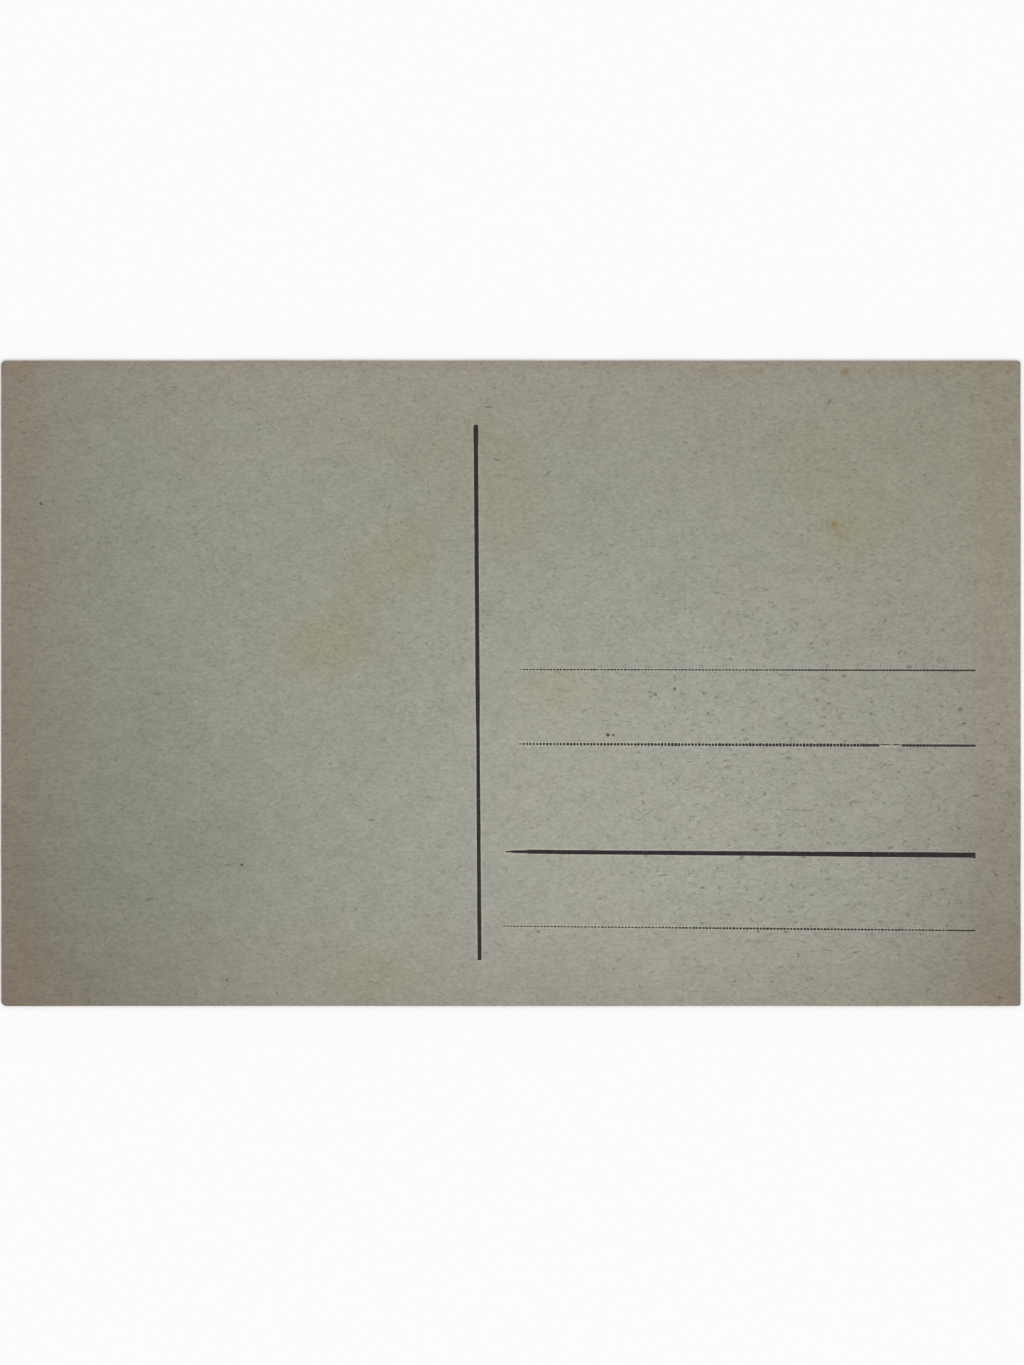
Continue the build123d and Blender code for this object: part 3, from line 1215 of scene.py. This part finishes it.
# %% Plies and paste
FIBRE_SIZE, FIBRE_HEIGHT = (0.35, 0.35), 0.02
PULP_DETAIL, PULP_ROUGHNESS = 3.0, 0.65
PLY_LIMITS = (0.33, 0.67)
PLY_LOOK = (0.25, (0.2, 0.8, 0.85, 0.97), (0.02, 0.7))
# Light and dark tone, and size of the pulp in mm
PASTE = (rgb(120, 104, 78), rgb(84, 71, 52), (0.5, 0.5))
LINER = (rgb(166, 158, 143), rgb(122, 114, 101), (0.4, 0.3))
CORE = (rgb(150, 138, 118), rgb(98, 88, 74), (0.7, 0.5))


def bare_pulp(place, light, dark, pulp_size):
    """Cut pulp of an inner ply."""
    pulp = grain(place, pulp_size, PULP_DETAIL, PULP_ROUGHNESS)
    mixed = (pulp + grain(place, FIBRE_SIZE, upright=FIBRE_HEIGHT)) * 0.5
    return tint(ramp(mixed, *PLY_LIMITS, 0.0, 1.0), light, dark), mixed


dress(finish("paste", PLY_LOOK, bare_pulp, *PASTE), "front_paste", "back_paste")
dress(finish("liner_paper", PLY_LOOK, bare_pulp, *LINER), "front_liner")
dress(finish("core_board", PLY_LOOK, bare_pulp, *CORE), "core_ply")

# %% [markdown]
# ## The picture side
# The other side of such a card carries a view, printed in brown on a chalk coating inside a pale
# border. It is out of sight in the photograph, so this is a lake under mountains of no real place. A
# picture file would do, but each part of the view can also be a mask made of noise, and the parts
# are laid over each other from the sky forwards. The further off a part is, the paler it is, as
# haze makes it. The lake is the same view upside down, broken by ripples.

# %% Ridges under a sky
SHORE = -8.0
PRINT_EDGE = 0.12
SKY_HIGH = rgb(176, 160, 133)
SKY_LOW = rgb(226, 217, 197)
CLOUD = rgb(238, 231, 214)
# Clouds: size in mm, limits, values and detail of their noise
SKY_CLOUDS = ((24.0, 7.0), (0.45, 0.66), (0.0, 1.0), 6.0)
# Ridges from the farthest forwards: height in mm, mm between hills, rise, roughness, whether it is peaked,
# then light and dark tone, size of the light and dark patches, and their turn
RIDGES = (
    (6.0, 30.0, 19.0, 0.5, True, rgb(216, 204, 180), rgb(146, 128, 101), (2.2, 7.0), 28),
    (1.0, 21.0, 6.0, 0.5, False, rgb(146, 127, 99), rgb(104, 86, 63), (1.2, 3.0), -35),
    (-5.5, 13.0, 1.5, 0.8, False, rgb(98, 80, 58), rgb(60, 47, 34), (0.5, 1.3), 0),
)
RIDGE_DETAIL = 6.0
# Noise keeps within about this much of its middle
NOISE_REACH = 0.25
HAZE = 0.4
# Limits, values, detail and roughness of patches of two tones
TWO_TONES = ((0.4, 0.6), (0.0, 1.0), 4.0, 0.65)


def ridge_mask(place, height, wave, rise, roughness, peaked=False):
    """One below a line of hills, or of peaks, across the picture, and nought above it."""
    right, up = split(place)
    along = add_node("CombineXYZ", {0: right, 1: height})
    swing = grain(along, (wave, wave), RIDGE_DETAIL, roughness) - NOISE_MIDDLE
    if peaked:
        swing = NOISE_REACH - abs(swing)
    crest = swing * (rise / NOISE_REACH) + height
    return ramp(up - crest, -PRINT_EDGE, PRINT_EDGE, 1.0, 0.0)


def patchy(place, light, dark, size, turn=0.0):
    """Patches of two tones."""
    return tint(patches(seen_from(place, -turn), size, *TWO_TONES), light, dark)


def land_and_sky(place):
    """Sky, mountains and wooded hills."""
    _, up = split(place)
    colour = tint(ramp(up, SHORE, CARD_HIGH.y, 0.0, 1.0), SKY_LOW, SKY_HIGH)
    colour = tint(patches(place, *SKY_CLOUDS), colour, CLOUD)
    for height, wave, rise, roughness, peaked, *tones in RIDGES:
        haze = ramp(up, SHORE, height + rise, HAZE, 0.0)
        slopes = tint(haze, patchy(place, *tones), SKY_LOW)
        colour = tint(ridge_mask(place, height, wave, rise, roughness, peaked), colour, slopes)
    return colour


print("ridges:", len(RIDGES))

# %% The lake, and firs on the near bank
LAKE_SHADE = (0.80, 0.78, 0.74, 1.0)
# Ripples: size in mm, detail, and how far they shift the view in mm. Glints are a ramp on their noise
RIPPLE_SIZE, RIPPLE_DETAIL, RIPPLE_SHIFT = (9.0, 0.45), 3.0, 5.0
GLINTS = (0.56, 0.7, 0.0, 0.45)
# The bank in the terms of the ridges, and tones in those of their patches
BANK = (-30.0, 21.0, 2.6, 0.7)
BANK_TONES = (rgb(98, 80, 58), rgb(56, 44, 32), (0.5, 1.4), 12)
FIR_TONES = (rgb(76, 61, 44), rgb(46, 36, 27), (0.7, 0.4))
# Firs: middle, foot, height and half-width in mm
FIRS = (
    (-57.0, -33.0, 38.0, 6.5),
    (-49.5, -32.0, 52.0, 8.0),
    (-41.5, -34.0, 30.0, 5.5),
    (49.0, -33.0, 24.0, 4.6),
    (57.5, -34.0, 36.0, 6.0),
)
FIR_TIERS, FIR_TIER_CUT = 9, 0.5
BRANCH_DRIFT = (0.8, 0.7)


def lake(place):
    """The view upside down in the water, drawn out by ripples."""
    right, up = split(place)
    ripples = grain(place, RIPPLE_SIZE, RIPPLE_DETAIL)
    mirrored = 2 * SHORE - up + (ripples - NOISE_MIDDLE) * RIPPLE_SHIFT
    upside_down = add_node("CombineXYZ", {0: right, 1: mirrored})
    colour = shade(1.0, land_and_sky(upside_down), LAKE_SHADE)
    return tint(ramp(ripples, *GLINTS), colour, SKY_LOW)


def fir_mask(place, middle, foot, height, half_width):
    """One where a fir stands, with its branches in tiers, and nought beside it."""
    right, up = split(place)
    share = (up - foot) / height
    tier = calc("FRACT", share * FIR_TIERS)
    spread = (1.0 - share) * (1.0 - tier * FIR_TIER_CUT)
    room = spread * half_width - abs(right - middle)
    return ramp(room, -PRINT_EDGE, PRINT_EDGE, 0.0, 1.0) * calc("GREATER_THAN", share, 0.0)


def printed_view(place):
    """Land over water, with a near bank and its firs."""
    _, up = split(place)
    water = ramp(up, SHORE - PRINT_EDGE, SHORE + PRINT_EDGE, 1.0, 0.0)
    colour = tint(water, land_and_sky(place), lake(place))
    ragged = drifted(place, BRANCH_DRIFT)
    colour = tint(layered(fir_mask, ragged, FIRS), colour, patchy(place, *FIR_TONES))
    return tint(ridge_mask(ragged, *BANK), colour, patchy(place, *BANK_TONES))


print("firs:", len(FIRS))

# %% The whole picture side
BORDER, BORDER_EDGE = 4.5, 0.05
BORDER_COLOUR = rgb(206, 198, 180)
# Gaps in the ink are patches, foxing is a layer of flecks, and wear is a grain with a ramp
INK_GAPS = ((0.16, 0.16), (0.4, 0.75), (0.0, 0.35), 2.0, 0.7)
EDGE_DRIFT = (7.0, 1.5)
FOXING, FOXING_DRIFT = (0, (8.0, 8.0), 0.07, 0.3), (1.0, 0.4)
FOXING_SHADE = (0.86, 0.74, 0.55, 1.0)
WEAR = ((0.5, 0.5), 3.0, 0.7)
RUBBED = (0.62, 0.8, 0.0, 0.25)
COATING_LOOK = (0.25, (0.3, 0.7, 0.38, 0.6), (0.004, 0.4))


def picture_coating(place):
    """Smooth coated paper with a brown printed view inside a pale border."""
    right, up = split(place)
    printed = tint(patches(place, *INK_GAPS), printed_view(place), SKY_LOW)
    to_side = CARD_HIGH.x - BORDER - abs(right)
    to_end = CARD_HIGH.y - BORDER - abs(up)
    inside = ramp(calc("MINIMUM", to_side, to_end), -BORDER_EDGE, BORDER_EDGE, 0.0, 1.0)
    colour = tint(inside, BORDER_COLOUR, printed)
    for brown in NARROW_BROWN:
        colour = shade(from_edge(drifted(place, EDGE_DRIFT), *brown), colour, BROWN_SHADE)
    colour = shade(fleck_layer(drifted(place, FOXING_DRIFT), *FOXING), colour, FOXING_SHADE)
    wear = grain(place, *WEAR)
    return tint(ramp(wear, *RUBBED), colour, BORDER_COLOUR), wear


dress(finish("picture_coating", COATING_LOOK, picture_coating), "picture_coating")

# %% [markdown]
# ## Floor, light and camera
# The card lies on a pale floor in plain soft light: an even room and one broad lamp from the lower
# right, at a level where a colour renders about as it is written. Seen directly, the room is as pale as
# the floor, so that no horizon shows in a low view. The denoiser is off: this light leaves hardly any
# noise, and the denoiser would smear half-millimetre dots and fibres away. The camera looks straight
# down, as in the photograph, with the card across almost the whole width of the picture.

# %% Floor
FLOOR_SIZE = 8.0
FLOOR_GAP = 0.02 * MM
PALE = 0.975
FLOOR_LOOK = {"Base Color": (PALE, PALE, PALE, 1.0), "Roughness": 0.9, "Specular IOR Level": 0.1}
floor_mesh = bpy.data.meshes.new("floor")
corner_sides = [(-1, -1), (1, -1), (1, 1), (-1, 1)]
floor_corners = [(FLOOR_SIZE * x, FLOOR_SIZE * y, -FLOOR_GAP) for x, y in corner_sides]
floor_mesh.from_pydata(floor_corners, [], [(0, 1, 2, 3)])
floor = bpy.data.objects.new("floor", floor_mesh)
bpy.context.scene.collection.objects.link(floor)
floor_finish = bpy.data.materials.new("floor")
floor_finish.use_nodes = True
for socket, value in FLOOR_LOOK.items():
    floor_finish.node_tree.nodes["Principled BSDF"].inputs[socket].default_value = value
floor_mesh.materials.append(floor_finish)
print("floor", 2 * FLOOR_SIZE, "m across")

# %% Light
ROOM_LEVEL = 0.62
LAMP_LEVEL = 0.38
LAMP_HEIGHT = 55
LAMP_BEARING = 35
LAMP_SOFTNESS = 40
scene = bpy.context.scene
scene.view_settings.view_transform = "Standard"
scene.cycles.use_denoising = False
room = bpy.data.worlds.new("soft_room")
scene.world = room
room.use_nodes = True
room_tree = room.node_tree
room_light = room_tree.nodes["Background"]
room_light.inputs["Color"].default_value = (1.0, 1.0, 1.0, 1.0)
to_camera = add_node("LightPath", {}, "Is Camera Ray", room_tree)
seen = together([to_camera, to_camera.beside("Is Glossy Ray"), to_camera.beside("Is Transmission Ray")])
backdrop = seen * (PALE - ROOM_LEVEL) + ROOM_LEVEL
room_tree.links.new(backdrop.socket, room_light.inputs["Strength"])
lamp_data = bpy.data.lights.new("broad_lamp", "SUN")
lamp_data.angle = math.radians(LAMP_SOFTNESS)
lamp_data.energy = LAMP_LEVEL * math.pi / math.sin(math.radians(LAMP_HEIGHT))
lamp = bpy.data.objects.new("broad_lamp", lamp_data)
lamp.rotation_euler = (math.radians(90 - LAMP_HEIGHT), 0.0, math.radians(LAMP_BEARING))
scene.collection.objects.link(lamp)
print("lamp strength", round(lamp_data.energy, 3))

# %% Camera
IMAGE_WIDTH, IMAGE_HEIGHT = 1024, 1365
CARD_PIXELS = 1020
CARD_MIDDLE_X, CARD_MIDDLE_Y = 511.0, 683.5
LENS = 85
millimetres_per_pixel = CARD_LENGTH / CARD_PIXELS
camera_data = bpy.data.cameras.new("camera")
camera_data.lens = LENS
camera = bpy.data.objects.new("camera", camera_data)
frame_height = millimetres_per_pixel * IMAGE_HEIGHT * MM
distance = frame_height * camera_data.lens / camera_data.sensor_width
camera.location = (
    (IMAGE_WIDTH / 2 - CARD_MIDDLE_X) * millimetres_per_pixel * MM,
    (CARD_MIDDLE_Y - IMAGE_HEIGHT / 2) * millimetres_per_pixel * MM,
    CARD_HIGH.z * MM + distance,
)
scene.collection.objects.link(camera)
scene.camera = camera
print("camera", round(distance, 3), "m above the card")
